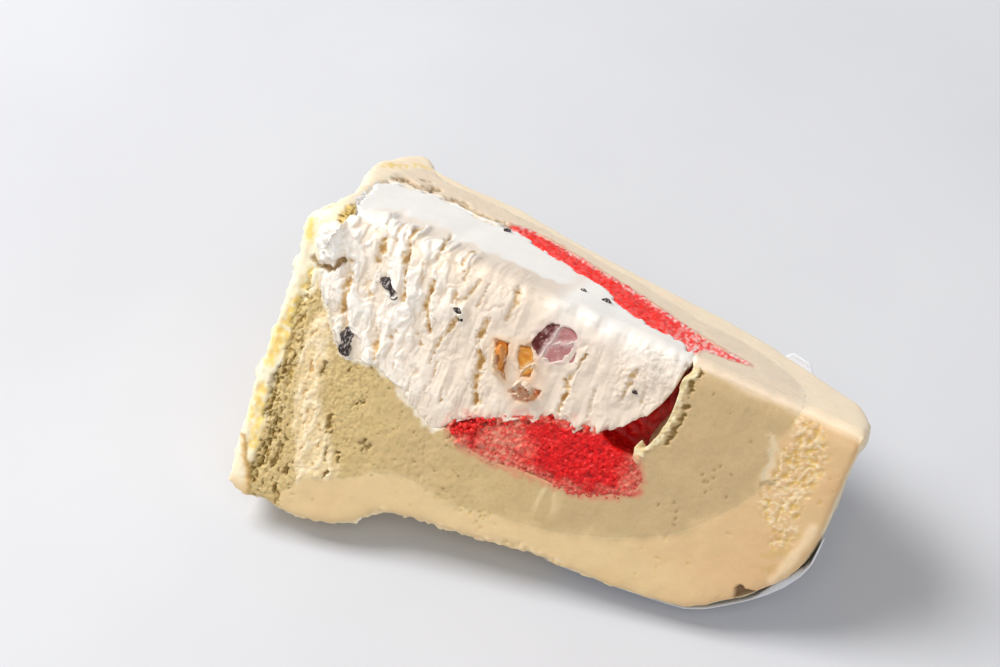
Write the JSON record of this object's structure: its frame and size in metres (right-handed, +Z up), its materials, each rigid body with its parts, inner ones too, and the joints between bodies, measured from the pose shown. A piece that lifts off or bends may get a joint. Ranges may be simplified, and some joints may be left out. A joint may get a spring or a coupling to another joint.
{
  "type": "slice of cassata",
  "caption": "Slice of layered ice-cream cassata: a quarter of a tall dome with cream wall, pistachio, red sponge, white filling with candied fruit and chocolate chips, lying on its curved side.",
  "frame": {"origin": "middle of the bounding box's bottom face, on the surface that the slice rests on", "axes": "+Z up, +X along the slice from its flat base towards the crown as the front view shows it, -Y towards the viewer of the front cut face"},
  "size_m": [0.1248, 0.1116, 0.0612],
  "materials": {
    "vanilla_cream": "half-melted vanilla ice cream, pale yellow, satin",
    "pistachio_cream": "pistachio ice cream, beige-green, fine pores",
    "red_sponge": "sponge cake soaked in red syrup, moist crumb",
    "white_filling": "white cream filling with chocolate chips, torn and furrowed",
    "candied_cherry": "candied cherry, moist",
    "candied_peel": "candied orange peel, moist",
    "white_paper": "thin white paper, matte"
  },
  "bodies": {
    "root": {"vanilla_cream": "vanilla_cream", "pistachio_cream": "pistachio_cream", "red_sponge": "red_sponge", "white_filling": "white_filling", "candied_cherry": "candied_cherry", "candied_peel_large": "candied_peel", "candied_peel_small": "candied_peel", "candied_peel_lower": "candied_peel", "paper_liner": "white_paper"}
  },
  "joints": []
}
